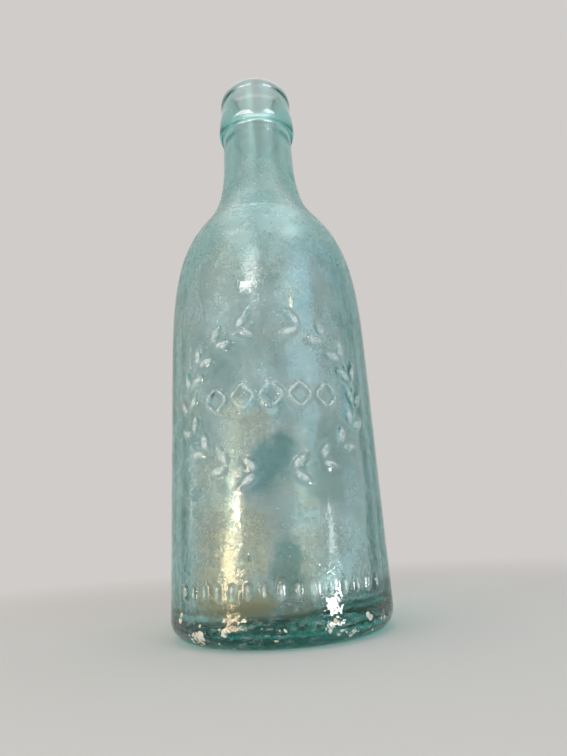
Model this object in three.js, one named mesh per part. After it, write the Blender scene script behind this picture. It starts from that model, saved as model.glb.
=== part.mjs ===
// A crown-top soda bottle of hand-finished aqua glass.
// It is made of two gathers of glass: a vessel blown in a mould, and a lip wound on the
// vessel's sheared neck and tooled to take a crown closure.
// Millimetres, +Z up, the origin at the middle of the ring it stands on, the mouth at the top.
import * as THREE from "three";

// Driving dimensions of the vessel, from the base up
const BODY_DIAMETER = 62; // across the straight side
const BODY_WALL = 4.4; // glass in the straight side
const SIDE_HEIGHT = 81; // from the base to where the side starts to draw in
const SHOULDER_HEIGHT = 80; // from there to where the shoulder has become the neck
const SHOULDER_FULLNESS = 0.725; // share of the shoulder over which the side holds its width
const NECK_SWEEP = 0.6; // share of the shoulder over which the neck flares
const NECK_LENGTH = 13.5; // from the shoulder to the neck's sheared end
const NECK_DIAMETER = 25.5; // outside, below the lip
const NECK_WALL = 4.4; // glass in the neck and round the mouth
const SHEAR_ROUND = 1.2; // round of the sheared end's outer edge

// Driving dimensions of the base
const HEEL_RADIUS = 5.8; // round between the side and the base
const RESTING_RING = 5.5; // width of the flat ring that the bottle stands on
const PUSH_UP = 3; // rise of the hollow under the base
const BASE_GLASS = 5.4; // glass above the resting ring
const FLOOR_RISE = 2.4; // rise of the inside floor towards its middle
const FLOOR_ROUND = 5.5; // round between the inside wall and the floor

// Driving dimensions of the lip
const LIP_ABOVE_NECK = 11; // height of the mouth above the neck's sheared end
const SKIRT_BELOW_END = 8.2; // how far the collar laps down over the neck
const COLLAR_FOOT = 0.3; // thickness of the collar's lower edge
const COLLAR_PROUD = 1.35; // how far the collar stands out from the neck
const COLLAR_ROUND = 4.4; // from its lower edge up to its widest line
const COLLAR_TAPER = 9.1; // from its widest line up to the groove above it
const GROOVE_PROUD = 0.35; // how far the bottom of that groove stands out
const LOCKING_RING_PROUD = 0.55; // how far the bead above the groove stands out
const LOCKING_RING_RISE = 2.2; // from the groove to the bead's widest line
const MOUTH_FLAT = 1.3; // width of the flat that a closure seals on
const MOUTH_EASE = 0.7; // round of the mouth's inner edge
const SEAT_CLEARANCE = 0.1; // between the lip and the neck that carries it

// Facets round the axis, and along a long, a short and a small curve of a profile
const TURNS = 48;
const LONG_CURVE = 14;
const SHORT_CURVE = 6;
const SMALL_CURVE = 3;

const bodyRadius = BODY_DIAMETER / 2;
const bodyInside = bodyRadius - BODY_WALL;
const neckRadius = NECK_DIAMETER / 2;
const boreRadius = neckRadius - NECK_WALL;
const neckRoot = SIDE_HEIGHT + SHOULDER_HEIGHT;
const neckTop = neckRoot + NECK_LENGTH;
const mouthHeight = neckTop + LIP_ABOVE_NECK;

// A point of a profile, by its distance from the axis and its height.
const at = (radius, height) => new THREE.Vector2(radius, height);

// A round stretch of a profile about a centre, with its own width and height; angles in degrees.
function round(centre, width, height, fromAngle, toAngle, steps) {
  const start = THREE.MathUtils.degToRad(fromAngle);
  const end = THREE.MathUtils.degToRad(toAngle);
  const clockwise = toAngle < fromAngle;
  const curve = new THREE.EllipseCurve(centre.x, centre.y, width, height, start, end, clockwise);
  return curve.getPoints(steps);
}

// A stretch that leaves its first end and meets its last end along handles straight up the axis.
function sweep(from, leave, meet, to, steps) {
  const leaveHandle = at(from.x, from.y + leave);
  const meetHandle = at(to.x, to.y - meet);
  return new THREE.CubicBezierCurve(from, leaveHandle, meetHandle, to).getPoints(steps);
}

// A shallow dome on the axis, from its crown down to its rim.
function dome(crownHeight, rimRadius, rimHeight) {
  const rise = crownHeight - rimHeight;
  const radius = (rimRadius ** 2 + rise ** 2) / (2 * rise);
  const halfAngle = THREE.MathUtils.radToDeg(Math.asin(rimRadius / radius));
  const points = round(at(0, crownHeight - radius), radius, radius, 90, 90 - halfAngle, SHORT_CURVE);
  points[0].x = 0;
  return points;
}

// Joins the stretches of a profile with straight runs, and drops a point that two stretches share.
function profile(...stretches) {
  const same = 1e-6;
  const points = stretches.flat();
  return points.filter((point, i) => i === 0 || point.distanceTo(points[i - 1]) > same);
}

// Turns a profile about the axis, with +Z up.
function turned(points) {
  const geometry = new THREE.LatheGeometry(points, TURNS);
  geometry.rotateX(Math.PI / 2);
  return geometry;
}

// The S-shaped line from the straight side to the neck; outside and inside run at the same heights.
function shoulder(sideRadius, neckSideRadius) {
  const fullness = SHOULDER_FULLNESS * SHOULDER_HEIGHT;
  const flare = NECK_SWEEP * SHOULDER_HEIGHT;
  return sweep(at(sideRadius, SIDE_HEIGHT), fullness, flare, at(neckSideRadius, neckRoot), LONG_CURVE);
}

// The blown vessel: pushed-up base, straight side, shoulder and open neck, in one wall of glass.
function vesselGeometry() {
  const ringOuter = bodyRadius - HEEL_RADIUS;
  const ringInner = ringOuter - RESTING_RING;
  const floorEdge = bodyInside - FLOOR_ROUND;
  const shearCentre = at(neckRadius - SHEAR_ROUND, neckTop - SHEAR_ROUND);
  const outside = profile(
    dome(PUSH_UP, ringInner, 0),
    round(at(ringOuter, HEEL_RADIUS), HEEL_RADIUS, HEEL_RADIUS, -90, 0, SHORT_CURVE),
    shoulder(bodyRadius, neckRadius),
    round(shearCentre, SHEAR_ROUND, SHEAR_ROUND, 0, 90, SMALL_CURVE),
  );
  const inside = profile(
    dome(BASE_GLASS + FLOOR_RISE, floorEdge, BASE_GLASS),
    round(at(floorEdge, BASE_GLASS + FLOOR_ROUND), FLOOR_ROUND, FLOOR_ROUND, -90, 0, SHORT_CURVE),
    shoulder(bodyInside, boreRadius),
    [at(boreRadius, neckTop)],
  );
  return turned(profile(outside, inside.reverse()));
}

// The tooled lip: a collar that laps over the neck's end, a groove for a crown's skirt,
// the locking ring that holds it, and the flat round the mouth.
function lipGeometry() {
  const skirtInside = neckRadius + SEAT_CLEARANCE;
  const seatHeight = neckTop + SEAT_CLEARANCE;
  const mouthInner = boreRadius + MOUTH_EASE;
  const mouthOuter = mouthInner + MOUTH_FLAT;
  const foot = at(skirtInside + COLLAR_FOOT, neckTop - SKIRT_BELOW_END);
  const collar = at(neckRadius + COLLAR_PROUD, foot.y + COLLAR_ROUND);
  const groove = at(neckRadius + GROOVE_PROUD, collar.y + COLLAR_TAPER);
  const ring = at(neckRadius + LOCKING_RING_PROUD, groove.y + LOCKING_RING_RISE);
  const taperHandle = COLLAR_TAPER / 2;
  const ringHandle = LOCKING_RING_RISE / 2;
  const collarRound = at(foot.x, collar.y);
  const ringRound = at(mouthOuter, ring.y);
  const outside = profile(
    [at(skirtInside, foot.y), foot],
    round(collarRound, collar.x - foot.x, COLLAR_ROUND, -90, 0, SHORT_CURVE),
    sweep(collar, taperHandle, taperHandle, groove, SHORT_CURVE),
    sweep(groove, ringHandle, ringHandle, ring, SMALL_CURVE),
    round(ringRound, ring.x - mouthOuter, mouthHeight - ring.y, 0, 90, SHORT_CURVE),
  );
  const inside = profile(
    round(at(mouthInner, mouthHeight - MOUTH_EASE), MOUTH_EASE, MOUTH_EASE, 90, 180, SMALL_CURVE),
    [at(boreRadius, seatHeight), at(skirtInside, seatHeight), at(skirtInside, foot.y)],
  );
  return turned(profile(outside, inside));
}

const vesselGlass = new THREE.MeshStandardMaterial({
  color: 0x8fb9b3,
  roughness: 0.12,
  metalness: 0,
  transparent: true,
  opacity: 0.5,
});
const lipGlass = new THREE.MeshStandardMaterial({
  color: 0x6fae9f,
  roughness: 0.06,
  metalness: 0,
  transparent: true,
  opacity: 0.5,
});

const vessel = new THREE.Mesh(vesselGeometry(), vesselGlass);
vessel.name = "blown_vessel";

const lip = new THREE.Mesh(lipGeometry(), lipGlass);
lip.name = "applied_lip";

const bottle = new THREE.Group();
bottle.name = "soda_bottle";
bottle.add(vessel, lip);

export default bottle;
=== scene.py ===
# An old crown-top soda bottle of aqua glass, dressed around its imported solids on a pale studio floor.
import math

import bpy
from mathutils import Matrix, Vector


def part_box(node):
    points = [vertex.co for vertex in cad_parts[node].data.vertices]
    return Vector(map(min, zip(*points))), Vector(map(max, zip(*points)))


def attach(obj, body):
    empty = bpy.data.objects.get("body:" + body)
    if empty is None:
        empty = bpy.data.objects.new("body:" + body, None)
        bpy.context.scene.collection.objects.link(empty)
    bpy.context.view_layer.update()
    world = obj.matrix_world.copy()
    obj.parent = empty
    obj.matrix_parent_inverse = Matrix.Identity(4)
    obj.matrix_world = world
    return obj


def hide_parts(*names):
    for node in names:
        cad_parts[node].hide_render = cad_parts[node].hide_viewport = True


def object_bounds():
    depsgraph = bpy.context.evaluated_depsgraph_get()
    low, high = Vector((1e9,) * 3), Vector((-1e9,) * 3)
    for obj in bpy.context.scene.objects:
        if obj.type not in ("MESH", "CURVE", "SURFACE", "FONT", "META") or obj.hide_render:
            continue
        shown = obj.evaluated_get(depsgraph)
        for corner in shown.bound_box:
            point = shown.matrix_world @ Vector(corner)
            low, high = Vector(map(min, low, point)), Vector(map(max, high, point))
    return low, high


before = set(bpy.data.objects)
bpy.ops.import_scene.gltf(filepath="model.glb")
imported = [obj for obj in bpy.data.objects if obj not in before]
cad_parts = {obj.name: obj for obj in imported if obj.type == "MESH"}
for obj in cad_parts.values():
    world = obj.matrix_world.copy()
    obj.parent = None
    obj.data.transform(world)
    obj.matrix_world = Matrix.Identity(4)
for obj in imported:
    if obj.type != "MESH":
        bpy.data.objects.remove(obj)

bl_info = {
    "name": "Hand-finished soda bottle",
    "version": (1, 0, 0),
    "blender": (4, 5, 0),
    "location": "3D View > Sidebar > Bottle",
    "description": "Turns an old crown-top soda bottle of aqua glass around its packed solids",
    "category": "Add Mesh",
}

MM = 0.001
PHOTO_SIZE = (567, 756)
SENSOR = 36.0
BODY = "root"

CAD_LOW, CAD_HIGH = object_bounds()
LIP_LOW, LIP_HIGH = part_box("applied_lip")


# Sizes and colours that a user would change

def length(label, text, default):
    """A length in metres, given in millimetres."""
    return bpy.props.FloatProperty(
        name=label, description=text, default=default * MM, unit="LENGTH", precision=5
    )


def share(label, text, default, top=1.0):
    """A plain number from nought."""
    return bpy.props.FloatProperty(name=label, description=text, default=default, min=0.0, max=top)


def angle(label, text, default):
    """An angle in radians, given in degrees."""
    return bpy.props.FloatProperty(
        name=label, description=text, default=math.radians(default), subtype="ANGLE"
    )


def colour(label, text, default):
    """A linear colour."""
    return bpy.props.FloatVectorProperty(
        name=label, description=text, default=default, size=3, subtype="COLOR", min=0.0, max=1.0
    )


def count(label, text, default):
    """A whole number."""
    return bpy.props.IntProperty(name=label, description=text, default=default, min=1)


class BottleSizes(bpy.types.PropertyGroup):
    """The turned wall of the bottle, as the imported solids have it."""

    body_diameter: length("Body diameter", "Across the straight side", (CAD_HIGH.x - CAD_LOW.x) / MM)
    height: length("Height", "From the resting ring to the mouth", CAD_HIGH.z / MM)
    body_wall: length("Body wall", "Glass in the straight side", 4.4)
    side_height: length("Side height", "Where the side starts to draw in", 81)
    shoulder_height: length("Shoulder height", "From the side to the neck", 80)
    shoulder_fullness: share("Fullness", "Share of the shoulder over which the side holds its width", 0.725)
    neck_sweep: share("Neck sweep", "Share of the shoulder over which the neck flares", 0.6)
    neck_diameter: length("Neck diameter", "Outside, below the lip", 25.5)
    neck_wall: length("Neck wall", "Glass in the neck and round the mouth", 4.4)
    heel_radius: length("Heel radius", "Round between the side and the base", 5.8)
    resting_ring: length("Resting ring", "Width of the flat ring that it stands on", 5.5)
    push_up: length("Push-up", "Rise of the hollow under the base", 3)
    base_glass: length("Base glass", "Glass above the resting ring", 5.4)
    floor_rise: length("Floor rise", "Rise of the inside floor towards its middle", 2.4)
    floor_round: length("Floor round", "Round between the inside wall and the floor", 5.5)
    collar_diameter: length("Collar diameter", "Across its widest line", (LIP_HIGH.x - LIP_LOW.x) / MM)
    collar_foot_height: length("Collar foot", "Height of the lip's lower edge", LIP_LOW.z / MM)
    collar_foot: length("Foot thickness", "Thickness of the collar's lower edge", 0.4)
    collar_round: length("Collar round", "From the lower edge up to the widest line", 4.4)
    collar_taper: length("Collar taper", "From the widest line up to the groove", 9.1)
    groove_proud: length("Groove", "How far the groove stands out from the neck", 0.35)
    ring_proud: length("Locking ring", "How far the bead stands out from the neck", 0.55)
    ring_rise: length("Ring rise", "From the groove to the bead's widest line", 2.2)
    mouth_flat: length("Mouth flat", "Width of the flat round the mouth", 1.3)
    mouth_ease: length("Mouth ease", "Round of the mouth's inner edge", 0.7)


class HandWork(bpy.types.PropertyGroup):
    """What the mould and the maker's hand left in the glass."""

    seam_height: length("Seam height", "How far the mould's two seams stand out", 0.12)
    seam_width: length("Seam width", "Half the width of a seam at its foot", 0.9)
    ripple: length("Ripple", "Depth of the whittled ripple outside", 0.24)
    dimple: length("Dimple", "Depth of the small dimples outside", 0.06)
    inner_ripple: length("Inner ripple", "Depth of the uneven wall inside", 1.1)
    floor_tilt: length("Floor tilt", "How much higher the inside floor stands on the right", 2.2)
    floor_wander: length("Floor wander", "How far the inside floor's edge rises and falls", 3.0)
    bubbles: share("Bubbles", "Bubbles under each square metre of the surface", 1900.0, 1e6)
    bubble: length("Bubble size", "Radius of the largest bubbles", 0.5)
    lean: length("Lean", "How far the neck stands off the axis", 0.1)
    collar_sag: length("Collar sag", "How far the collar's lower edge wanders", 1.6)
    seed: count("Seed", "Seed of everything that wanders", 7)


class RaisedWork(bpy.types.PropertyGroup):
    """The raised ornament on the front."""

    relief: length("Relief", "How far the ornament stands out", 0.8)
    wreath_height: length("Wreath height", "Height of the wreath's middle", 60)
    wreath_half_width: length("Wreath half width", "From its middle to its side, round the body", 26)
    wreath_half_height: length("Wreath half height", "From its middle to its top", 20)
    leaf_pairs: count("Leaf pairs", "Pairs of leaves on each branch", 9)
    leaf_length: length("Leaf length", "Length of one leaf", 7.6)
    leaf_width: length("Leaf width", "Width of one leaf", 3.0)
    leaf_tilt: angle("Leaf tilt", "How far a leaf turns from its branch", 36)
    lozenges: count("Lozenges", "Lozenges in the row across the middle", 5)
    lozenge_width: length("Lozenge width", "Width of one lozenge", 7)
    lozenge_height: length("Lozenge height", "Height of one lozenge", 7)
    stroke: length("Stroke", "Width of a raised line", 1.35)
    dashes: count("Heel dashes", "Dashes in the row above the heel", 15)
    dash_length: length("Dash length", "Length of one dash", 3.6)
    dash_pitch: length("Dash pitch", "From dash to dash, round the body", 4.1)
    dash_height: length("Dash height", "Height of the row of dashes", 13)


class GlassLook(bpy.types.PropertyGroup):
    """Colour and age of the glass, and the shade, glow and glints painted into it."""

    clear: colour("Clear glass", "Tint of the surface where it is clean", (0.93, 0.97, 0.97))
    depth_tint: colour("Depth tint", "What deep glass lets through", (0.0, 0.69, 0.655))
    depth_density: share("Depth density", "How fast deep glass takes light, per metre", 70.0, 500.0)
    film: colour("Thin film", "What the inside lets through where it is nearly clean", (0.73, 0.67, 0.67))
    # Painted shade: a dark tint where the bloom is wiped, darker than clean glass would be
    wiped_shade: colour("Wiped patch shade", "Painted shade where the bloom was wiped off", (0.13, 0.33, 0.33))
    lime_pale: colour("Pale lime", "Milky bloom inside, where it is thick", (0.90, 0.80, 0.86))
    lime_dull: colour("Dull lime", "The bloom where it is thin", (0.40, 0.45, 0.48))
    lime_amount: share("Lime amount", "How much light the bloom stops", 0.66)
    # Warm stain, and also a painted warm glow low on the left round the lamp's streak
    stain_and_glow: colour("Stain", "Warm stain in the bloom", (0.74, 0.48, 0.37))
    silt: colour("Silt", "Brown dirt round the inside floor", (0.44, 0.27, 0.15))
    # Painted shade: a dark tint under the base, not dirt
    base_shade: colour("Base shade", "Painted shade under the base", (0.03, 0.10, 0.09))
    # Also the pale colour of the scuffs round the neck's root, a painted highlight where glints are
    worn_and_glint: colour("Worn crests", "Ground-off glass on what stands out", (0.82, 0.88, 0.89))
    gloss: share("Gloss roughness", "Roughness of the clean outside", 0.07)
    wear: share("Wear roughness", "Added where the outside is scuffed", 0.22)
    dust: share("Dust roughness", "Added on the shoulder and the neck", 0.2)
    dry: share("Dry film roughness", "Added inside the neck, above the tide line", 0.14)
    lamp_tint: colour("Lamp tint", "What lamps lose in the walls", (0.76, 0.88, 0.87))
    tide_height: length("Tide line", "Height at which the bloom ends, in the neck's root", 135)


class CrustLook(bpy.types.PropertyGroup):
    """Mineral crust on the heel."""

    cream: colour("Cream", "Colour of the crust", (0.72, 0.61, 0.48))
    chalk: colour("Chalk", "Its paler grains", (0.80, 0.79, 0.74))
    density: share("Density", "Grains for each square metre where it is thick", 1200000.0, 1e8)
    top: length("Top", "How high the crust climbs", 9)
    grain: length("Grain", "Radius of the largest grains", 0.9)
    seed: count("Seed", "Seed of where the grains lie", 11)


class StageLook(bpy.types.PropertyGroup):
    """Floor, lamps and camera."""

    pale: colour("Pale", "Floor and background", (0.63, 0.605, 0.585))
    camera_distance: length("Camera distance", "In front of the axis", 157.155)
    camera_height: length("Camera height", "Above the floor", 24.39)
    camera_focal: share("Focal length", "In pixels of the photograph", 512.0, 5000.0)
    pitch: angle("Pitch", "How far the camera looks up", 17.395)
    yaw: angle("Yaw", "How far it looks to the right", 1.5)
    roll: angle("Roll", "How far it is turned about its own line of sight", -3.077)


def numbers(group):
    """The numbers of a group of settings, under the names that the panel shows."""
    found = {}
    for name in group.__annotations__:
        value = getattr(group, name)
        if isinstance(value, (int, float)):
            found[group.bl_rna.properties[name].name] = value
    return found


# Wiring of node trees

class Bench:
    """Places nodes in a tree and wires them. A value is a number, a vector or another node's socket."""

    def __init__(self, tree):
        self.tree = tree

    def feed(self, socket, value):
        if isinstance(value, bpy.types.NodeSocket):
            self.tree.links.new(value, socket)
        elif value is not None:
            socket.default_value = value

    def node(self, kind, inputs=None, **settings):
        node = self.tree.nodes.new(kind)
        for name, value in settings.items():
            setattr(node, name, value)
        for key, value in (inputs or {}).items():
            self.feed(node.inputs[key], value)
        return node

    def math(self, operation, a, b=None, c=None):
        return self.node("ShaderNodeMath", {0: a, 1: b, 2: c}, operation=operation).outputs[0]

    def add(self, a, b):
        return self.math("ADD", a, b)

    def minus(self, a, b):
        return self.math("SUBTRACT", a, b)

    def over(self, a, b):
        return self.math("DIVIDE", a, b)

    def most(self, a, b):
        return self.math("MAXIMUM", a, b)

    def line(self, value, slope, start):
        return self.math("MULTIPLY_ADD", value, slope, start)

    def times(self, *factors):
        product = factors[0]
        for factor in factors[1:]:
            product = self.math("MULTIPLY", product, factor)
        return product

    def vector(self, operation, a, b=None):
        return self.node("ShaderNodeVectorMath", {0: a, 1: b}, operation=operation).outputs[0]

    def scaled(self, vector, factor):
        return self.node("ShaderNodeVectorMath", {0: vector, "Scale": factor}, operation="SCALE").outputs[0]

    def length(self, vector):
        return self.node("ShaderNodeVectorMath", {0: vector}, operation="LENGTH").outputs["Value"]

    def join(self, x, y, z=0.0):
        return self.node("ShaderNodeCombineXYZ", {0: x, 1: y, 2: z}).outputs[0]

    def split(self, vector):
        return self.node("ShaderNodeSeparateXYZ", {0: vector}).outputs

    def ramp(self, value, low, high, to_low=0.0, to_high=1.0):
        """Follows a value smoothly from one level to another."""
        values = {0: value, 1: low, 2: high, 3: to_low, 4: to_high}
        return self.node("ShaderNodeMapRange", values, interpolation_type="SMOOTHSTEP").outputs[0]

    def fade(self, value, low, high, to_low=0.0, to_high=1.0):
        """The same along a length, with its two ends in millimetres."""
        return self.ramp(value, low * MM, high * MM, to_low, to_high)

    def noise(self, where, scale, detail=2.0, roughness=0.5, distortion=0.0):
        values = {"Vector": where, "Scale": scale, "Detail": detail, "Roughness": roughness}
        return self.node("ShaderNodeTexNoise", {**values, "Distortion": distortion}).outputs[0]

    def blend(self, factor, *colours):
        """One colour into another."""
        a, b = (c if isinstance(c, bpy.types.NodeSocket) else (*c, 1.0) for c in colours)
        return self.node("ShaderNodeMix", {0: factor, 6: a, 7: b}, data_type="RGBA").outputs[2]

    def shape(self, carrier):
        """The mesh of an object."""
        return self.node("GeometryNodeObjectInfo", {"Object": carrier}).outputs["Geometry"]

    def mark(self, name):
        """A number that each point carries."""
        return self.node("GeometryNodeInputNamedAttribute", {"Name": name}, data_type="FLOAT").outputs[0]

    def store(self, mesh, name, value):
        values = {"Geometry": mesh, "Name": name, "Value": value}
        return self.node("GeometryNodeStoreNamedAttribute", values, data_type="FLOAT").outputs[0]

    def move(self, mesh, offset):
        return self.node("GeometryNodeSetPosition", {"Geometry": mesh, "Offset": offset}).outputs[0]

    def chance(self, low, high, seed):
        """A number for each point, drawn between two levels."""
        values = {2: low, 3: high, "Seed": seed}
        return self.node("FunctionNodeRandomValue", values, data_type="FLOAT").outputs[1]

    def scatter(self, mesh, density, seed):
        values = {"Mesh": mesh, "Density": density, "Seed": seed}
        return self.node("GeometryNodeDistributePointsOnFaces", values).outputs

    def ball(self):
        return self.node("GeometryNodeMeshIcoSphere", {"Radius": 1.0, "Subdivisions": 2}).outputs[0]

    def strew(self, points, shape, scale, rotation=None):
        """A copy of a shape on each point."""
        values = {"Points": points, "Instance": shape, "Scale": scale, "Rotation": rotation}
        return self.node("GeometryNodeInstanceOnPoints", values).outputs[0]

    def together(self, *meshes):
        joined = self.node("GeometryNodeJoinGeometry")
        for mesh in meshes:
            self.tree.links.new(mesh, joined.inputs[0])
        return joined.outputs[0]

    def smooth(self, mesh):
        return self.node("GeometryNodeSetShadeSmooth", {"Geometry": mesh}).outputs[0]


SOCKETS = {
    float: "NodeSocketFloat",
    int: "NodeSocketInt",
    bpy.types.Object: "NodeSocketObject",
    bpy.types.Material: "NodeSocketMaterial",
}


def link(obj):
    bpy.context.scene.collection.objects.link(obj)
    return obj


def mesh_object(name, points, faces=()):
    mesh = bpy.data.meshes.new(name)
    mesh.from_pydata(points, (), faces)
    return link(bpy.data.objects.new(name, mesh))


def wired(name, wire, values):
    """A Geometry Nodes tree with an input for each value. wire places its nodes and gives its last mesh."""
    tree = bpy.data.node_groups.new(name, "GeometryNodeTree")
    for label, value in values.items():
        tree.interface.new_socket(name=label, in_out="INPUT", socket_type=SOCKETS[type(value)])
    tree.interface.new_socket(name="Mesh", in_out="OUTPUT", socket_type="NodeSocketGeometry")
    bench = Bench(tree)
    given = bench.node("NodeGroupInput").outputs
    real = bench.node("GeometryNodeRealizeInstances", {0: wire(bench, given)}).outputs[0]
    painted = bench.node("GeometryNodeSetMaterial", {"Geometry": real, "Material": given["Material"]})
    bench.node("NodeGroupOutput", {0: painted.outputs[0]})
    return tree


def grown(name, wire, values):
    """Runs a tree with these named inputs and keeps what it makes as a plain mesh object."""
    carrier = mesh_object(name + "_carrier", [])
    modifier = carrier.modifiers.new("Shape", "NODES")
    modifier.node_group = wired(name, wire, values)
    for item in modifier.node_group.interface.items_tree:
        if item.in_out == "INPUT":
            modifier[item.identifier] = values[item.name]
    graph = bpy.context.evaluated_depsgraph_get()
    evaluated = carrier.evaluated_get(graph)
    mesh = bpy.data.meshes.new_from_object(evaluated, preserve_all_data_layers=True, depsgraph=graph)
    mesh.name = name
    carrier.modifiers.remove(modifier)
    bpy.data.objects.remove(carrier)
    return link(bpy.data.objects.new(name, mesh))


# The bottle's profile, row by row from the middle of the base, over the lip and down inside. The last
# number of each stretch is its count of rows.

HALVINGS = 40


def span(start, end, steps):
    """Evenly spaced values from start to end, without the last."""
    return [start + (end - start) * i / steps for i in range(steps)]


def round_stretch(centre, width, height, start, end, steps):
    """A round stretch about a centre; angles in degrees."""
    turns = [math.radians(a) for a in span(start, end, steps)]
    return [(centre[0] + width * math.cos(a), centre[1] + height * math.sin(a)) for a in turns]


def dome(crown, rim_radius, rim, steps):
    """A shallow dome on the axis, from its crown out to its rim."""
    rise = crown - rim
    radius = (rim_radius**2 + rise**2) / (2 * rise)
    half = math.degrees(math.asin(rim_radius / radius))
    return round_stretch((0.0, crown - radius), radius, radius, 90, 90 - half, steps)


def sweep_point(start, leave, meet, end, t):
    """A point of the curve that leaves its start and meets its end straight up the axis."""
    s = 1 - t
    shares = s**3, 3 * s * s * t, 3 * s * t * t, t**3
    heights = start[1], start[1] + leave, end[1] - meet, end[1]
    hold = shares[0] + shares[1]
    return hold * start[0] + (1 - hold) * end[0], sum(a * b for a, b in zip(shares, heights))


def sweep(start, leave, meet, end, steps):
    return [sweep_point(start, leave, meet, end, t) for t in span(0.0, 1.0, steps)]


def sweep_at(start, leave, meet, end, height):
    """The point of such a curve at a given height, found by halving."""
    low, high = 0.0, 1.0
    for _ in range(HALVINGS):
        middle = (low + high) / 2
        if sweep_point(start, leave, meet, end, middle)[1] < height:
            low = middle
        else:
            high = middle
    return sweep_point(start, leave, meet, end, low)


def shoulder(size, side_radius, neck_radius, heights):
    start = (side_radius, size.side_height)
    end = (neck_radius, size.side_height + size.shoulder_height)
    leave = size.shoulder_fullness * size.shoulder_height
    meet = size.neck_sweep * size.shoulder_height
    return [sweep_at(start, leave, meet, end, z) for z in heights]


def outside_rows(size, work):
    """The outside, from under the base up to the mouth's flat; close rows where the ornament lies."""
    body, neck = size.body_diameter / 2, size.neck_diameter / 2
    ring_outer = body - size.heel_radius
    ring_inner = ring_outer - size.resting_ring
    neck_root = size.side_height + size.shoulder_height
    foot = size.collar_foot_height
    row_low = work.dash_height - work.dash_length
    row_high = work.dash_height + work.dash_length
    wreath_low = work.wreath_height - work.wreath_half_height - work.leaf_length
    wreath_high = work.wreath_height + work.wreath_half_height + work.leaf_length
    heights = (
        span(size.heel_radius, row_low, 4)
        + span(row_low, row_high, 16)
        + span(row_high, wreath_low, 15)
        + span(wreath_low, size.side_height, 94)
    )
    slope = span(size.side_height, wreath_high, 12) + span(wreath_high, neck_root, 56)
    collar = (size.collar_diameter / 2, foot + size.collar_round)
    groove = (neck + size.groove_proud, collar[1] + size.collar_taper)
    ring = (neck + size.ring_proud, groove[1] + size.ring_rise)
    mouth_outer = neck - size.neck_wall + size.mouth_ease + size.mouth_flat
    foot_radius = neck + size.collar_foot
    tuck = size.collar_foot
    return (
        dome(size.push_up, ring_inner, 0.0, 9)
        + [(r, 0.0) for r in span(ring_inner, ring_outer, 3)]
        + round_stretch((ring_outer, size.heel_radius), size.heel_radius, size.heel_radius, -90, 0, 12)
        + [(body, z) for z in heights]
        + shoulder(size, body, neck, slope)
        + [(neck, z) for z in span(neck_root, foot - tuck, 6)]
        + round_stretch((foot_radius, foot - tuck), tuck, tuck, 180, 90, 3)
        + round_stretch((foot_radius, collar[1]), collar[0] - foot_radius, size.collar_round, -90, 0, 10)
        + sweep(collar, size.collar_taper / 2, size.collar_taper / 2, groove, 14)
        + sweep(groove, size.ring_rise / 2, size.ring_rise / 2, ring, 5)
        + round_stretch((mouth_outer, ring[1]), ring[0] - mouth_outer, size.height - ring[1], 0, 90, 12)
        + [(r, size.height) for r in span(mouth_outer, mouth_outer - size.mouth_flat, 2)]
    )


def inside_rows(size):
    """The inside, from the mouth's inner edge down to the middle of the floor."""
    inner = size.body_diameter / 2 - size.body_wall
    bore = size.neck_diameter / 2 - size.neck_wall
    ease = size.mouth_ease
    neck_root = size.side_height + size.shoulder_height
    floor_edge = inner - size.floor_round
    floor_top = size.base_glass + size.floor_round
    floor = dome(size.base_glass + size.floor_rise, floor_edge, size.base_glass, 9)
    corner = (floor_edge, floor_top)
    return (
        round_stretch((bore + ease, size.height - ease), ease, ease, 90, 180, 4)
        + [(bore, z) for z in span(size.height - ease, neck_root, 13)]
        + shoulder(size, inner, bore, span(neck_root, size.side_height, 42))
        + [(inner, z) for z in span(size.side_height, floor_top, 36)]
        + round_stretch(corner, size.floor_round, size.floor_round, 0, -90, 8)
        + [(floor_edge, size.base_glass)]
        + floor[:0:-1]
        + [(0.0, size.base_glass + size.floor_rise)]
    )


def row_guide(size, work):
    """The profile as a line of points, each marked as outside or inside."""
    outside, inside = outside_rows(size, work), inside_rows(size)
    guide = mesh_object("row_guide", [(r, 0.0, z) for r, z in outside + inside])
    marks = guide.data.attributes.new("inside", "FLOAT", "POINT")
    marks.data.foreach_set("value", [0.0] * len(outside) + [1.0] * len(inside))
    return guide


def column_guide():
    """Angles round the axis, nought at the front: close on the front and at the two seams."""
    edge = 62.0
    seam = 90.0
    near = 5.0
    half = (
        span(0.0, edge, 82)
        + span(edge, seam - near, 6)
        + span(seam - near, seam + near, 12)
        + span(seam + near, 180.0, 21)
        + [180.0]
    )
    turns = [-a for a in reversed(half[1:])] + half
    return mesh_object("column_guide", [(math.radians(a), 0.0, 0.0) for a in turns])


# The raised ornament, laid out flat: x round the body from the front, y up, z out of the glass

BRANCH_SWEEP = math.radians(150)
LEAVES_START = math.radians(9)
STEM_START = math.radians(5)
STEM_BEND = 0.12
LOZENGE_PITCH = 1.12
QUARTER = math.pi / 2


def sliver(name, width_at, steps=10, across=(-1.0, -0.7, -0.3, 0.0, 0.3, 0.7, 1.0)):
    """A domed patch of unit length, width and height, as wide along its length as width_at says."""
    points = []
    for i in range(steps + 1):
        along = i / steps
        half = width_at(along) / 2
        points += [(along, t * half, 2 * half * (1 - t**4)) for t in across]
    n = len(across)
    faces = [
        (i * n + j, (i + 1) * n + j, (i + 1) * n + j + 1, i * n + j + 1)
        for i in range(steps)
        for j in range(n - 1)
    ]
    return mesh_object(name, points, faces)


def leaf_width(along):
    return math.sin(math.pi * along**0.8) ** 0.9 if 0 < along < 1 else 0.0


def stroke_width(along):
    return (1 - abs(2 * along - 1) ** 12) ** 0.5


def spread(bench, number, position, turn, scale, shape):
    """A number of copies of a shape, each at its place in the plane and turned in it."""
    points = bench.node("GeometryNodePoints", {"Count": number, "Position": position}).outputs[0]
    return bench.strew(points, shape, scale, bench.join(0.0, 0.0, turn))


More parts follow.
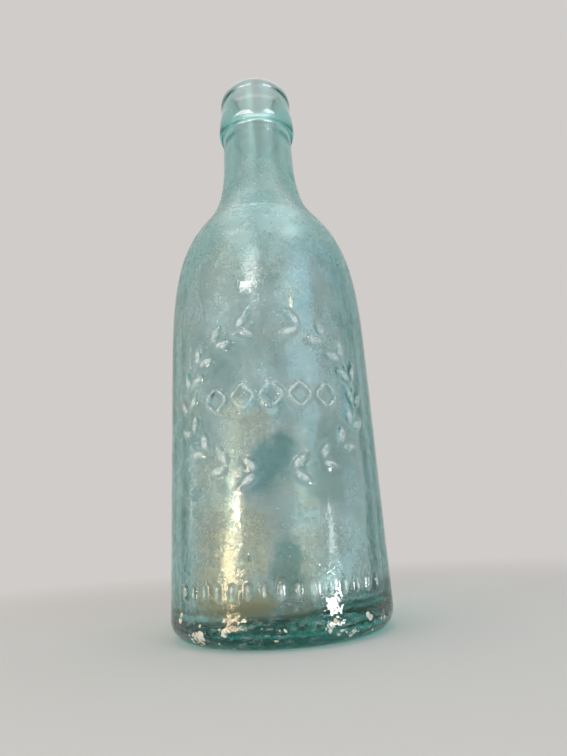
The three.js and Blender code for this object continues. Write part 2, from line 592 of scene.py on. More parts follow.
def on_branch(bench, given, branch, rank, start):
    """The place of a rank on one of the two branches, the way the branch heads there, and its side."""
    wide, tall = given["Wreath half width"], given["Wreath half height"]
    side = bench.line(branch, -2.0, 1.0)
    rise = bench.over(rank, bench.minus(given["Leaf pairs"], 1.0))
    turn = bench.line(rise, BRANCH_SWEEP, start)
    sine, cosine = bench.math("SINE", turn), bench.math("COSINE", turn)
    up = bench.minus(given["Wreath height"], bench.times(tall, cosine))
    heading = bench.math("ARCTAN2", bench.times(tall, sine), bench.times(side, wide, cosine))
    return bench.join(bench.times(side, wide, sine), up), heading, side


def branches(bench, given, index, leaf, stroke):
    """Leaves in pairs along two branches that rise from the wreath's foot, and the branches' stems."""
    pairs, leaf_length = given["Leaf pairs"], given["Leaf length"]
    each = bench.times(pairs, 2.0)
    branch = bench.math("FLOOR", bench.over(index, each))
    rank = bench.math("FLOOR", bench.over(bench.math("MODULO", index, each), 2.0))
    place, heading, _ = on_branch(bench, given, branch, rank, LEAVES_START)
    hand = bench.line(bench.math("MODULO", index, 2.0), 2.0, -1.0)
    turn = bench.add(heading, bench.times(hand, given["Leaf tilt"]))
    scale = bench.join(leaf_length, given["Leaf width"], given["Relief"])
    leaves = spread(bench, bench.times(pairs, 4.0), place, turn, scale, leaf)

    branch = bench.math("FLOOR", bench.over(index, pairs))
    rank = bench.math("MODULO", index, pairs)
    place, heading, side = on_branch(bench, given, branch, rank, STEM_START)
    turn = bench.add(heading, bench.times(side, STEM_BEND))
    thin, low = bench.times(given["Stroke"], 0.75), bench.times(given["Relief"], 0.5)
    scale = bench.join(bench.times(leaf_length, 1.02), thin, low)
    return leaves, spread(bench, each, place, turn, scale, stroke)


def lozenge_row(bench, given, index, stroke):
    """Four strokes round each lozenge of a row across the middle."""
    half_wide = bench.times(given["Lozenge width"], 0.5)
    half_tall = bench.times(given["Lozenge height"], 0.5)

    def corner(turn):
        x = bench.times(half_wide, bench.math("COSINE", turn))
        return bench.join(x, bench.times(half_tall, bench.math("SINE", turn)))

    number = bench.math("FLOOR", bench.over(index, 4.0))
    middle = bench.times(bench.minus(given["Lozenges"], 1.0), 0.5)
    pitch = bench.times(given["Lozenge width"], LOZENGE_PITCH)
    centre = bench.join(bench.times(bench.minus(number, middle), pitch), given["Wreath height"])
    turn = bench.times(bench.math("MODULO", index, 4.0), QUARTER)
    start = corner(turn)
    step = bench.vector("SUBTRACT", corner(bench.add(turn, QUARTER)), start)
    step_x, step_y, _ = bench.split(step)
    heading = bench.math("ARCTAN2", step_y, step_x)
    scale = bench.join(bench.length(step), given["Stroke"], given["Relief"])
    place = bench.vector("ADD", centre, start)
    return spread(bench, bench.times(given["Lozenges"], 4.0), place, heading, scale, stroke)


def dash_row(bench, given, index, stroke):
    """Upright dashes above the heel."""
    first = bench.times(bench.minus(given["Heel dashes"], 1.0), -0.5)
    x = bench.times(bench.add(index, first), given["Dash pitch"])
    y = bench.minus(given["Dash height"], bench.times(given["Dash length"], 0.5))
    scale = bench.join(given["Dash length"], given["Stroke"], given["Relief"])
    return spread(bench, given["Heel dashes"], bench.join(x, y), QUARTER, scale, stroke)


def raised_ornament(bench, given):
    """A wreath of two leafy branches round a row of lozenges, and a row of dashes above the heel."""
    index = bench.node("GeometryNodeInputIndex").outputs[0]
    stroke = bench.shape(given["Stroke pattern"])
    leaves, stems = branches(bench, given, index, bench.shape(given["Leaf pattern"]), stroke)
    lozenges = lozenge_row(bench, given, index, stroke)
    return bench.together(dash_row(bench, given, index, stroke), lozenges, stems, leaves)


# The wall of glass

WELD = 0.002 * MM
RAY_START = 10 * MM
ORNAMENT_SIDES = (math.radians(76), math.radians(60))
BUBBLE_DEPTH = (1.3 * MM, 2.9 * MM)
BUBBLE_SPOT_SEED = 5
BUBBLE_DEPTH_SEED = 3
BUBBLE_SIZE_SEED = 9


class Where:
    """Where a point of the glass lies, and on which side of the wall."""

    def __init__(self, bench, place, inside, radius):
        self.place = place
        self.x, self.y, self.height = bench.split(place)
        self.turn = bench.math("ARCTAN2", self.x, bench.times(self.y, -1.0))
        self.inside = inside
        self.outer = bench.minus(1.0, inside)
        self.radius = radius

    @classmethod
    def of_mesh(cls, bench, radius):
        """The same in a Geometry Nodes tree."""
        place = bench.node("GeometryNodeInputPosition").outputs[0]
        return cls(bench, place, bench.mark("inside"), radius)

    def off_axis(self, bench):
        return bench.length(bench.join(self.x, self.y))

    def outward(self, bench):
        """The direction out from the axis."""
        return bench.join(bench.math("SINE", self.turn), bench.times(bench.math("COSINE", self.turn), -1.0))

    def bearing(self, bench):
        """The turn from the front, to either side."""
        return bench.math("ABSOLUTE", self.turn)


def wrapped_wall(bench, given):
    """A grid wrapped round the axis, with its two ends and its poles welded."""
    rows, columns = bench.shape(given["Rows"]), bench.shape(given["Columns"])
    row_count = bench.node("GeometryNodeAttributeDomainSize", {0: rows}).outputs["Point Count"]
    column_count = bench.node("GeometryNodeAttributeDomainSize", {0: columns}).outputs["Point Count"]
    values = {"Vertices X": column_count, "Vertices Y": row_count}
    grid = bench.node("GeometryNodeMeshGrid", values).outputs[0]
    index = bench.node("GeometryNodeInputIndex").outputs[0]
    place = bench.node("GeometryNodeInputPosition").outputs[0]
    row = bench.math("MODULO", index, row_count)
    column = bench.math("FLOOR", bench.over(index, row_count))

    def pick(points, value, number, kind="FLOAT_VECTOR"):
        values = {"Geometry": points, "Value": value, "Index": number}
        return bench.node("GeometryNodeSampleIndex", values, data_type=kind).outputs[0]

    out, _, height = bench.split(pick(rows, place, row))
    turn = bench.split(pick(columns, place, column))[0]
    x = bench.times(out, bench.math("SINE", turn))
    y = bench.times(out, bench.math("COSINE", turn), -1.0)
    values = {"Geometry": grid, "Position": bench.join(x, y, height)}
    wall = bench.node("GeometryNodeSetPosition", values).outputs[0]
    wall = bench.store(wall, "inside", pick(rows, bench.mark("inside"), row, "FLOAT"))
    return bench.node("GeometryNodeMergeByDistance", {"Geometry": wall, "Distance": WELD}).outputs[0]


def raised_front(bench, given, at, wall):
    """Marks the ornament on the wall. The ground round it sinks, so that its crests keep to the solid."""
    above = bench.join(bench.times(at.turn, at.radius), at.height, RAY_START)
    ray = bench.node("GeometryNodeRaycast", {
        "Target Geometry": bench.shape(given["Ornament"]), "Source Position": above,
        "Ray Direction": (0.0, 0.0, -1.0), "Ray Length": 2 * RAY_START,
    }).outputs
    raised = bench.times(bench.split(ray["Hit Position"])[2], ray["Is Hit"], at.outer)
    values = {"Value": raised, "Iterations": 1, "Weight": 0.5}
    soft = bench.node("GeometryNodeBlurAttribute", values, data_type="FLOAT").outputs[0]
    wall = bench.store(wall, "raised", bench.over(soft, given["Relief"]))
    front = bench.times(bench.ramp(at.bearing(bench), *ORNAMENT_SIDES), bench.fade(at.height, 3, 8),
                        bench.fade(at.height, 115, 95), at.outer)
    return wall, bench.times(bench.minus(bench.mark("raised"), front), given["Relief"])


def seams(bench, given, at):
    """Two mould seams up the sides, from the heel to the lip, on a wall sunk by their height."""
    off = bench.times(bench.math("ABSOLUTE", bench.minus(at.bearing(bench), QUARTER)), at.radius)
    seam = bench.times(bench.ramp(off, given["Seam width"], 0.0), bench.fade(at.height, 2, 5),
                       bench.fade(at.height, 165, 160))
    return bench.times(bench.minus(seam, 1.0), given["Seam height"], at.outer)


def ripples(bench, given, at, shift):
    """Ripples and dimples outside, never beyond the solid's own wall, and the uneven wall inside."""
    wander = bench.vector("ADD", at.place, shift)
    long_wave = bench.noise(bench.vector("MULTIPLY", wander, (1.0, 1.0, 0.45)), 55.0, 1.0)
    waves = bench.add(bench.times(long_wave, 0.7), bench.times(bench.noise(wander, 120.0, 2.0), 0.3))
    outside = bench.times(bench.minus(waves, 1.0), given["Ripple"])
    small = bench.minus(bench.noise(wander, 240.0, 1.0), 1.0)
    outside = bench.add(outside, bench.times(small, given["Dimple"]))
    calm = bench.times(bench.fade(at.height, 0.5, 7), bench.fade(at.height, 168, 160, 0.35, 1.0), at.outer)
    inner_wave = bench.noise(bench.vector("MULTIPLY", wander, (1.0, 1.0, 0.6)), 48.0, 2.0)
    inner_calm = bench.times(bench.fade(at.height, 175, 130, 0.15, 1.0), bench.fade(at.height, 184, 176))
    inner = bench.times(bench.minus(inner_wave, 0.5), given["Inner ripple"], at.inside, inner_calm)
    return bench.add(bench.times(outside, calm), inner)


def uneven_floor(bench, given, at, shift):
    """The inside floor tilts, and its edge rises and falls."""
    ring = bench.vector("ADD", bench.scaled(at.outward(bench), 1.6), shift)
    rise = bench.times(bench.minus(bench.noise(ring, 1.0, 2.0), 0.5), given["Floor wander"])
    rise = bench.add(rise, bench.times(bench.math("SINE", at.turn), given["Floor tilt"]))
    near = bench.ramp(at.height, bench.times(given["Floor top"], 2.0), given["Floor top"])
    return bench.times(rise, at.inside, near, bench.fade(at.off_axis(bench), 5, 18))


def sagging_collar(bench, given, at, shift):
    """The collar's lower edge wanders."""
    foot = given["Collar foot"]
    ring = bench.vector("ADD", bench.scaled(at.outward(bench), 0.9), shift)
    sideways = bench.math("POWER", bench.math("SINE", at.bearing(bench)), 2.0)
    sag = bench.add(sideways, bench.ramp(bench.noise(ring, 1.0, 2.0), 0.25, 0.75, -0.2, -0.5))
    below = bench.ramp(at.height, bench.minus(foot, 6 * MM), bench.minus(foot, 0.2 * MM))
    above = bench.ramp(at.height, bench.add(foot, given["Collar round"]), foot)
    return bench.times(sag, given["Collar sag"], below, above, at.outer)


def bubbles(bench, given, at, wall):
    """Small bubbles in the wall, their surfaces facing the air inside them."""
    often = bench.times(bench.fade(at.height, 60, 5, 0.35, 1.0), bench.fade(at.height, 1, 3),
                        bench.fade(at.height, 160, 150), at.outer)
    spots = bench.scatter(wall, bench.times(often, given["Bubbles"]), BUBBLE_SPOT_SEED)
    depth = bench.times(bench.chance(*BUBBLE_DEPTH, BUBBLE_DEPTH_SEED), -1.0)
    sunk = bench.move(spots["Points"], bench.scaled(spots["Normal"], depth))
    hollow = bench.node("GeometryNodeFlipFaces", {"Mesh": bench.ball()}).outputs[0]
    draw = bench.math("POWER", bench.chance(0.0, 1.0, BUBBLE_SIZE_SEED), 2.5)
    size = bench.times(bench.line(draw, 0.75, 0.25), given["Bubble size"])
    return bench.strew(sunk, hollow, bench.join(size, size, bench.times(size, 1.5)))


def turned_glass(bench, given):
    """A profile turned about the axis, with its ornament, seams, ripples, lean and bubbles."""
    at = Where.of_mesh(bench, given["Body radius"])
    shift = bench.join(given["Seed"], bench.times(given["Seed"], 2.0))
    wall, raised = raised_front(bench, given, at, wrapped_wall(bench, given))
    outwards = bench.scaled(at.outward(bench), bench.add(raised, seams(bench, given, at)))
    normal = bench.node("GeometryNodeInputNormal").outputs[0]
    rippled = bench.scaled(normal, ripples(bench, given, at, shift))
    lean = bench.times(bench.fade(at.height, 100, 168), given["Lean"], -1.0)
    upwards = bench.add(sagging_collar(bench, given, at, shift), uneven_floor(bench, given, at, shift))
    moved = bench.vector("ADD", bench.vector("ADD", outwards, rippled), bench.join(lean, 0.0, upwards))
    wall = bench.move(wall, moved)
    return bench.smooth(bench.together(bubbles(bench, given, at, wall), wall))


# Patches: degrees from the front, height, half width and half height in millimetres, and how strong they
# are. The crust's are all as strong.
CRUST_PATCHES = (
    (-59, 8, 0.9, 2.6),
    (-44, 3, 3.2, 1.6),
    (-26, 4.5, 1.2, 0.8),
    (-1, 4.5, 0.9, 0.5),
    (22, 4.6, 2.4, 0.7),
    (31, 2.7, 3.0, 0.9),
    (44, 5, 1.2, 0.6),
    (56, 4.4, 2.2, 0.8),
)
BLOOM_PATCHES = (
    (-14, 51, 9, 9, 0.8),
    (-34, 24, 13, 17, 0.5),
    (28, 20, 10, 14, 0.5),
    (6, 108, 22, 16, 0.45),
)
# Wiped patches thin the bloom, and a painted shade darkens them
WIPED_AND_SHADED_PATCHES = (
    (-2, 44, 8, 7, 0.9),
    (5, 19, 5.5, 8, 0.9),
    (32, 42, 9, 12, 0.5),
    (-26, 69, 7, 9, 0.5),
)
# Stain patches; the strong one low on the left, at -26 degrees and 20 mm, is a painted warm glow round the
# lamp's streak
STAIN_AND_GLOW_PATCHES = (
    (-22, 62, 5, 12, 0.7),
    (-20, 46, 7, 8, 0.5),
    (14, 47, 7, 8, 0.6),
    (20, 62, 6, 8, 0.4),
    (-14, 52, 8, 7, 0.7),
    (-26, 20, 14, 18, 0.95),
    (-32, 104, 14, 18, 0.5),
    (-12, 96, 9, 12, 0.35),
)
SILT_PATCHES = (
    (-20, 8, 11, 4, 0.9),
    (-38, 10, 7, 5, 0.6),
)
# Scuffs round the neck's root: pebbled and polished, and their pale colour is a painted highlight of glints
SCUFF_AND_GLINT_PATCHES = (
    (-24, 124.8, 2.0, 0.7, 0.9),
    (-15, 123.9, 1.6, 0.6, 0.8),
    (-6, 123.5, 1.8, 1.1, 1.0),
    (2, 123.4, 2.0, 0.6, 0.8),
    (10, 123.1, 2.2, 0.5, 0.7),
    (-11, 129.6, 2.2, 0.45, 0.7),
    (-9, 113.5, 1.2, 0.5, 0.6),
)

# Where a patch's edge starts and ends, in the patch's own half sizes
SOFT_EDGE = (1.35, 0.45)
CRUST_EDGE = (1.1, 0.7)
CRUST_STRENGTH = 2.5
CRUST_BED = 0.07 * MM


def reach(bench, at, spot, shift=0.0):
    """How far a place lies from the middle of a listed patch, in the patch's own half sizes."""
    turn, middle, wide, tall = spot[:4]
    off = bench.add(bench.times(bench.minus(at.turn, math.radians(turn)), at.radius), shift)
    up = bench.add(bench.minus(at.height, middle * MM), shift)
    return bench.length(bench.join(bench.times(off, 1 / (wide * MM)), bench.times(up, 1 / (tall * MM))))


def patch(bench, at, spot, shift=0.0):
    """How strongly a listed patch covers a place. A shift that varies frays its edge."""
    return bench.ramp(reach(bench, at, spot, shift), *SOFT_EDGE, 0.0, spot[4])


def covered(bench, at, spots, shift=0.0, least=0.0):
    """The strongest cover of several listed patches."""
    for spot in spots:
        least = bench.most(least, patch(bench, at, spot, shift))
    return least


def crust(bench, given):
    """Grains in clumps on the heel of the glass."""
    at = Where.of_mesh(bench, given["Body radius"])
    clumps = bench.ramp(bench.noise(at.place, 170.0, 3.0, 0.6), 0.57, 0.66)
    for spot in CRUST_PATCHES:
        clumps = bench.most(clumps, bench.ramp(reach(bench, at, spot), *CRUST_EDGE, 0.0, CRUST_STRENGTH))
    top = given["Top"]
    band = bench.times(bench.ramp(at.height, top, bench.times(top, 0.4)), bench.fade(at.height, 0.5, 1.2),
                       at.outer)
    density = bench.times(clumps, band, given["Density"])
    points = bench.scatter(bench.shape(given["Glass"]), density, given["Seed"])
    bedded = bench.move(points["Points"], bench.scaled(points["Normal"], -CRUST_BED))

    def chance(low, high, offset):
        return bench.chance(low, high, bench.add(given["Seed"], offset))

    values = {0: points["Rotation"], 1: bench.join(0.0, 0.0, chance(0.0, 2 * math.pi, 1.0))}
    spin = bench.node("FunctionNodeRotateRotation", values, rotation_space="LOCAL").outputs[0]
    size = bench.line(bench.math("POWER", chance(0.0, 1.0, 2.0), 3.0), 0.75, 0.25)
    size = bench.times(size, given["Grain"])
    flat = bench.times(size, chance(0.16, 0.3, 4.0))
    scale = bench.join(size, bench.times(size, chance(0.45, 0.9, 3.0)), flat)
    lumps = bench.line(bench.noise(at.place, 1.7, 3.0), 1.3, -0.65)
    normal = bench.node("GeometryNodeInputNormal").outputs[0]
    grain = bench.move(bench.ball(), bench.scaled(normal, lumps))
    return bench.smooth(bench.strew(bedded, grain, scale, spin))


# Finishes

GLASS_IOR = 1.5


def new_material(name):
    material = bpy.data.materials.new(name)
    material.use_nodes = True
    material.node_tree.nodes.clear()
    return material, Bench(material.node_tree)


def object_place(bench):
    return bench.node("ShaderNodeTexCoord").outputs["Object"]


def painted_mark(bench, name):
    """A number that the mesh carries, in a material."""
    return bench.node("ShaderNodeAttribute", attribute_name=name).outputs["Fac"]


def bumped(bench, strength, distance, height):
    values = {"Strength": strength, "Distance": distance, "Height": height}
    return bench.node("ShaderNodeBump", values).outputs[0]


def stained_inside(bench, look, at):
    """Shares of bloom and silt inside the glass, and the tint that they give it, with painted shade in
    wiped patches and a painted warm glow low on the left.
    """
    # Clouds and runs of bloom, thick or wiped in patches with frayed edges
    clouds = bench.noise(at.place, 62.0, 7.0, 0.66, 0.5)
    runs = bench.noise(bench.vector("MULTIPLY", at.place, (1.0, 1.0, 0.13)), 240.0, 5.0, 0.65)
    fray = bench.noise(at.place, 110.0, 5.0, 0.65)
    shift = bench.line(fray, 18 * MM, -9 * MM)
    both = bench.add(bench.times(clouds, 0.52), bench.times(runs, 0.48))
    film = bench.ramp(both, 0.38, 0.63, 0.15, 0.95)
    for spot in BLOOM_PATCHES:
        film = bench.add(film, patch(bench, at, spot, shift))
    for spot in WIPED_AND_SHADED_PATCHES:
        film = bench.minus(film, patch(bench, at, spot, shift))
    mottle = bench.ramp(bench.noise(at.place, 420.0, 4.0, 0.7), 0.35, 0.65, 0.66, 1.0)
    wisps = bench.ramp(bench.noise(at.place, 150.0, 6.0, 0.72, 1.2), 0.42, 0.6, 0.55, 1.1)
    film = bench.times(bench.most(bench.math("MINIMUM", film, 1.0), 0.04), mottle, wisps)

    # The bloom ends at a wandering tide line, and is a little thicker just below it
    edge = bench.add(at.height, bench.line(fray, 8 * MM, -4 * MM))
    tide = look.tide_height / MM
    below_tide = bench.fade(edge, tide + 0.8, tide - 0.8)
    line = bench.times(bench.fade(edge, tide - 5, tide - 1), below_tide, 0.3)
    haze = bench.times(bench.math("MINIMUM", bench.add(film, line), 1.0), at.inside, below_tide)

    silt = bench.ramp(bench.noise(at.place, 120.0, 5.0, 0.68), 0.46, 0.64)
    silt = bench.times(silt, bench.fade(at.height, 17, 6))
    silt = bench.times(covered(bench, at, SILT_PATCHES, shift, silt), at.inside)

    tone = bench.ramp(bench.noise(at.place, 85.0, 4.0, 0.6), 0.32, 0.62)
    lime = bench.blend(bench.most(tone, bench.ramp(film, 0.7, 1.0)), look.lime_dull, look.lime_pale)
    warm = bench.times(bench.ramp(bench.noise(at.place, 46.0, 3.0, 0.6, 0.8), 0.46, 0.68), 0.6)
    # Warm stain; low on the left it is also a painted warm glow round the lamp's streak
    lime = bench.blend(covered(bench, at, STAIN_AND_GLOW_PATCHES, shift, warm), lime, look.stain_and_glow)
    # Painted shade: wiped patches let through a dark tint
    thin = bench.blend(covered(bench, at, WIPED_AND_SHADED_PATCHES, shift), look.film, look.wiped_shade)
    clean = bench.blend(at.inside, look.clear, thin)
    tint = bench.blend(bench.ramp(haze, 0.0, 0.5), clean, lime)
    return haze, silt, bench.blend(silt, tint, look.silt)


def worn_outside(bench, at):
    """Share of all marks outside (ground crests, bruises, the rubbed heel, scuffs whose pale colour is
    partly a painted highlight), and of scuffs alone.
    """
    grit = bench.ramp(bench.noise(at.place, 520.0, 4.0, 0.6), 0.35, 0.62, 0.3, 1.0)
    ground = bench.times(bench.ramp(painted_mark(bench, "raised"), 0.5, 0.9), grit, at.outer)
    specks = bench.ramp(bench.noise(at.place, 900.0, 2.0, 0.6, 0.5), 0.69, 0.76)
    bruises = bench.times(specks, at.outer, bench.fade(at.height, 80, 4, 0.25, 1.0),
                          bench.fade(at.height, 160, 130))
    scratch = bench.noise(bench.vector("MULTIPLY", at.place, (1.0, 1.0, 4.0)), 420.0, 6.0, 0.75)
    rubbed = bench.times(bench.ramp(scratch, 0.5, 0.68), bench.fade(at.height, 10, 3), at.outer, 0.35)
    # Scuffs round the neck's root; their pale colour is a painted highlight
    scuff_and_glint = bench.times(covered(bench, at, SCUFF_AND_GLINT_PATCHES), at.outer)
    marked = bench.most(bench.times(ground, 0.6), bench.times(bruises, 0.6))
    marked = bench.most(marked, rubbed)
    return bench.most(marked, bench.times(scuff_and_glint, 0.5)), scuff_and_glint


def surface(bench, look, at, haze, marked, scuff_and_glint):
    """Roughness of the glass, and its pebbled normal."""
    scuffs = bench.ramp(bench.noise(at.place, 210.0, 6.0, 0.7, 0.4), 0.45, 0.75)
    calm = bench.fade(at.height, 170, 140, 0.15, 1.0)
    low_down = bench.fade(at.height, 30, 18)
    dusty = bench.times(bench.fade(at.height, 90, 111), bench.fade(at.height, 158, 138, 0.2, 1.0),
                        bench.fade(at.height, 166, 163), look.dust)
    scuffed = bench.times(scuffs, look.wear, calm, bench.line(low_down, -0.7, 1.0))
    polish = bench.minus(at.outer, scuff_and_glint)
    rough = bench.add(look.gloss, bench.times(bench.add(scuffed, dusty), polish))
    rough = bench.add(rough, bench.add(bench.times(haze, 0.3), bench.times(marked, polish, 0.4)))
    rough = bench.add(rough, bench.times(bench.fade(at.height, 128, 142, 0.0, look.dry), at.inside))

    smoother = bench.fade(at.height, 84, 108, 1.0, 0.4)
    pebbled = bench.add(bench.times(scuffs, calm, smoother), bench.line(low_down, 1.4, 0.2))
    pebbled = bench.add(pebbled, bench.times(scuff_and_glint, 8.0))
    pits = bench.times(bench.noise(at.place, 700.0, 0.8, 0.5), pebbled)
    return rough, bumped(bench, 0.35, 0.2 * MM, pits)


def old_glass(look, radius):
    """Aqua glass: scuffed outside, bloomed with lime inside up to a tide line, brown round the floor, with
    painted shade under the base and in wiped patches, a painted warm glow and painted glints.
    """
    material, bench = new_material("old_aqua_glass")
    at = Where(bench, object_place(bench), painted_mark(bench, "inside"), radius)
    haze, silt, tint = stained_inside(bench, look, at)
    # Painted shade under the base: the underside tints what passes through it dark green
    under = bench.times(bench.fade(at.off_axis(bench), 26.5, 25), bench.fade(at.height, 5, 4), at.outer)
    tint = bench.blend(bench.times(under, 0.95), tint, look.base_shade)
    marked, scuff_and_glint = worn_outside(bench, at)
    # Worn crests, bruises and the rubbed heel turn pale; on the scuffs the pale is a painted highlight
    tint = bench.blend(bench.ramp(marked, 0.0, 0.4), tint, look.worn_and_glint)
    stopped = bench.most(bench.times(haze, look.lime_amount), bench.times(silt, 0.8))
    stopped = bench.most(stopped, marked)
    rough, normal = surface(bench, look, at, haze, marked, scuff_and_glint)
    glass = bench.node("ShaderNodeBsdfPrincipled", {
        "Base Color": tint, "Roughness": rough, "IOR": GLASS_IOR,
        "Transmission Weight": bench.minus(1.0, stopped), "Normal": normal,
    })
    # Light from the lamps passes straight through the walls
    lamp_way = bench.node("ShaderNodeBsdfTransparent", {"Color": (*look.lamp_tint, 1.0)})
    shadow = bench.node("ShaderNodeLightPath").outputs["Is Shadow Ray"]
    mix = bench.node("ShaderNodeMixShader", {0: shadow, 1: glass.outputs[0], 2: lamp_way.outputs[0]})
    values = {"Color": (*look.depth_tint, 1.0), "Density": look.depth_density}
    depth = bench.node("ShaderNodeVolumeAbsorption", values)
    bench.node("ShaderNodeOutputMaterial", {"Surface": mix.outputs[0], "Volume": depth.outputs[0]})
    return material


def mineral(look):
    """Dull, crumbly mineral, cream with chalky grains."""
    material, bench = new_material("mineral_crust")
    place = object_place(bench)
    grains = bench.ramp(bench.noise(place, 420.0, 4.0, 0.6), 0.4, 0.62)
    dull = bench.node("ShaderNodeBsdfPrincipled", {
        "Base Color": bench.blend(grains, look.cream, look.chalk),
        "Roughness": bench.ramp(grains, 0.0, 1.0, 0.75, 0.95),
        "Normal": bumped(bench, 0.6, 0.1 * MM, bench.noise(place, 2600.0, 3.0)),
    })
    bench.node("ShaderNodeOutputMaterial", {"Surface": dull.outputs[0]})
    return material


def pale_floor(stage):
    """Plain pale paint that runs out into the background."""
    material, bench = new_material("pale_floor")
    pale = (*stage.pale, 1.0)
    away = bench.ramp(bench.length(object_place(bench)), 0.1, 0.34)
    paint = bench.node("ShaderNodeBsdfDiffuse", {"Color": pale})
    distance = bench.node("ShaderNodeEmission", {"Color": pale, "Strength": 1.0})
    mix = bench.node("ShaderNodeMixShader", {0: away, 1: paint.outputs[0], 2: distance.outputs[0]})
    bench.node("ShaderNodeOutputMaterial", {"Surface": mix.outputs[0]})
    return material


# The stage

BOUNCES = 48
FLOOR_RADIUS = 3.0
FLOOR_SIDES = 96
CLIP_START = 5 * MM
WARM = (1.0, 0.82, 0.58)
WHITE = (1.0, 0.98, 0.95)
COOL = (0.40, 0.76, 1.0)
GOLDEN = (1.0, 0.72, 0.42)

# Lamps: place and the height on the axis that they face, width and height in metres, watts and tint
SOFTBOXES = {
    "low_left_lamp": ((-0.248, -0.289, 0.056), 0.02, 0.05, 0.045, 0.25, WARM),
    "high_left_lamp": ((-0.155, -0.443, 0.388), 0.12, 0.2, 0.02, 0.3, WHITE),
    "left_softbox": ((-0.50, -0.36, 0.34), 0.08, 0.45, 0.5, 0.52, WHITE),
    "right_softbox": ((0.40, -0.52, 0.38), 0.08, 0.5, 0.5, 1.3, COOL),
    "top_softbox": ((0.0, 0.06, 0.9), 0.08, 0.8, 0.8, 1.3, WHITE),
}
# Lamps that are only seen in what is glossy
GLINTS = {
    "golden_glint": ((-0.081, -0.079, 0.014), 0.02, 0.03, 0.026, 0.03, GOLDEN),
    "low_right_glint": ((0.0443, -0.0508, 0.0072), 0.02, 0.013, 0.010, 0.011, WHITE),
    "right_strip": ((0.0462, -0.049, 0.026), 0.02, 0.005, 0.018, 0.0015, WHITE),
    "shoulder_glint": ((-0.11, -0.37, 0.38), 0.12, 0.12, 0.07, 0.12, WHITE),
    "golden_dot": ((0.202, -0.373, 0.301), 0.12, 0.03, 0.03, 0.035, GOLDEN),
    "left_strip": ((-0.312, 0.06, 0.11), 0.08, 0.008, 0.18, 0.014, WHITE),
    "lip_left_glint": ((-0.063, -0.0886, 0.229), 0.175, 0.09, 0.024, 0.046, WHITE),
    "lip_right_glint": ((0.0658, -0.0865, 0.229), 0.175, 0.06, 0.024, 0.031, WHITE),
}


def area_lamp(name, place, aim_height, wide, tall, watts, tint):
    """A softbox at a place, facing a point on the axis."""
    lamp = bpy.data.lights.new(name, "AREA")
    lamp.shape = "ELLIPSE"
    lamp.size, lamp.size_y = wide, tall
    lamp.energy, lamp.color = watts, tint
    box = link(bpy.data.objects.new(name, lamp))
    box.location = place
    aim = Vector((0.0, 0.0, aim_height)) - Vector(place)
    box.rotation_euler = aim.to_track_quat("-Z", "Y").to_euler()
    box.visible_camera = False
    return box


def turned(a, b, turn):
    """Two axes at right angles, turned in their plane."""
    return a * math.cos(turn) + b * math.sin(turn), b * math.cos(turn) - a * math.sin(turn)


def place_camera(stage):
    """The camera where the photograph was taken from, in the bottle's own frame."""
    right, ahead, up = Vector((1.0, 0.0, 0.0)), Vector((0.0, 1.0, 0.0)), Vector((0.0, 0.0, 1.0))
    ahead, up = turned(ahead, up, stage.pitch)
    ahead, right = turned(ahead, right, stage.yaw)
    right, up = turned(right, up, stage.roll)
    data = bpy.data.cameras.new("camera")
    data.sensor_width = SENSOR
    data.lens = stage.camera_focal / max(PHOTO_SIZE) * SENSOR
    data.clip_start = CLIP_START
    camera = link(bpy.data.objects.new("camera", data))
    axes = Matrix((right, up, -ahead)).transposed().to_4x4()
    camera.matrix_world = Matrix.Translation((0.0, -stage.camera_distance, stage.camera_height)) @ axes
    bpy.context.scene.camera = camera


# One operator for the stage, and one for each piece

class BOTTLE_OT_stage(bpy.types.Operator):
    """Lay the pale floor, hang the lamps and set the camera"""

    bl_idname = "bottle.stage"
    bl_label = "Stage"

    def execute(self, context):
        stage = context.scene.bottle_stage
        world = bpy.data.worlds.new("pale_studio")
        world.use_nodes = True
        world.node_tree.nodes["Background"].inputs["Color"].default_value = (*stage.pale, 1.0)
        context.scene.world = world
        context.scene.view_settings.view_transform = "Standard"
        cycles = context.scene.cycles
        cycles.max_bounces = cycles.glossy_bounces = cycles.transmission_bounces = BOUNCES
        turns = span(0.0, 2 * math.pi, FLOOR_SIDES)
        rim = [(FLOOR_RADIUS * math.cos(a), FLOOR_RADIUS * math.sin(a), 0.0) for a in turns]
        floor = mesh_object("floor", rim, [tuple(range(FLOOR_SIDES))])
        floor.data.materials.append(pale_floor(stage))
        for name, lamp in SOFTBOXES.items():
            area_lamp(name, *lamp)
        for name, lamp in GLINTS.items():
            box = area_lamp(name, *lamp)
            box.visible_diffuse = box.visible_transmission = False
        place_camera(stage)
        return {"FINISHED"}


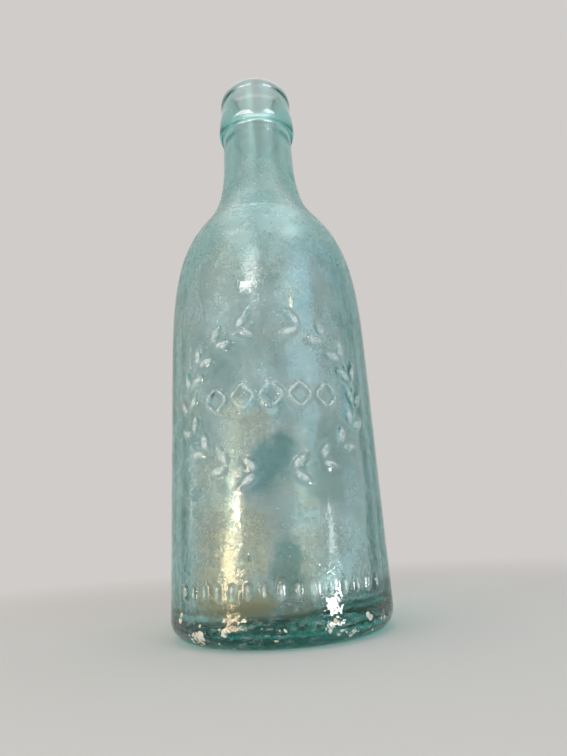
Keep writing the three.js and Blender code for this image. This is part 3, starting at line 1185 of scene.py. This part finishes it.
class BOTTLE_OT_glass(bpy.types.Operator):
    """Turn the bottle's wall of glass, with its lip, ornament, seams and ripples"""

    bl_idname = "bottle.glass"
    bl_label = "Glass"

    def execute(self, context):
        size, hand = context.scene.bottle_sizes, context.scene.bottle_hand
        raised = context.scene.bottle_raised
        radius = size.body_diameter / 2
        material = old_glass(context.scene.bottle_look, radius)
        leaf = sliver("leaf_pattern", leaf_width)
        stroke = sliver("stroke_pattern", stroke_width)
        ornament = grown("ornament", raised_ornament, {
            "Leaf pattern": leaf, "Stroke pattern": stroke, "Material": material, **numbers(raised),
        })
        rows, columns = row_guide(size, raised), column_guide()
        piece = grown("bottle_glass", turned_glass, {
            "Rows": rows, "Columns": columns, "Ornament": ornament, "Material": material,
            "Body radius": radius, "Relief": raised.relief, "Collar foot": size.collar_foot_height,
            "Collar round": size.collar_round, "Floor top": size.base_glass + size.floor_round,
            **numbers(hand),
        })
        for guide in (leaf, stroke, ornament, rows, columns):
            bpy.data.objects.remove(guide)
        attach(piece, BODY)
        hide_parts("blown_vessel", "applied_lip")
        return {"FINISHED"}


class BOTTLE_OT_crust(bpy.types.Operator):
    """Lay mineral crust on the bottle's heel"""

    bl_idname = "bottle.crust"
    bl_label = "Crust"

    def execute(self, context):
        look = context.scene.bottle_crust
        piece = grown("heel_crust", crust, {
            "Glass": bpy.data.objects["bottle_glass"], "Material": mineral(look),
            "Body radius": context.scene.bottle_sizes.body_diameter / 2, **numbers(look),
        })
        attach(piece, BODY)
        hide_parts("blown_vessel")
        return {"FINISHED"}


class BOTTLE_PT_panel(bpy.types.Panel):
    """Sizes, colours and steps of the bottle"""

    bl_idname = "BOTTLE_PT_panel"
    bl_label = "Soda bottle"
    bl_space_type = "VIEW_3D"
    bl_region_type = "UI"
    bl_category = "Bottle"

    def draw(self, context):
        for operator in OPERATORS:
            self.layout.operator(operator.bl_idname)
        for group in GROUPS:
            settings = getattr(context.scene, group)
            box = self.layout.box()
            for name in settings.__annotations__:
                box.prop(settings, name)


GROUPS = {
    "bottle_sizes": BottleSizes,
    "bottle_hand": HandWork,
    "bottle_raised": RaisedWork,
    "bottle_look": GlassLook,
    "bottle_crust": CrustLook,
    "bottle_stage": StageLook,
}
OPERATORS = (BOTTLE_OT_stage, BOTTLE_OT_glass, BOTTLE_OT_crust)


def register():
    for group, kind in GROUPS.items():
        bpy.utils.register_class(kind)
        setattr(bpy.types.Scene, group, bpy.props.PointerProperty(type=kind))
    for kind in (*OPERATORS, BOTTLE_PT_panel):
        bpy.utils.register_class(kind)


def unregister():
    for kind in (BOTTLE_PT_panel, *reversed(OPERATORS)):
        bpy.utils.unregister_class(kind)
    for group, kind in GROUPS.items():
        delattr(bpy.types.Scene, group)
        bpy.utils.unregister_class(kind)


def main():
    register()
    bpy.ops.bottle.stage()
    bpy.ops.bottle.glass()
    bpy.ops.bottle.crust()


if __name__ == "__main__":
    main()
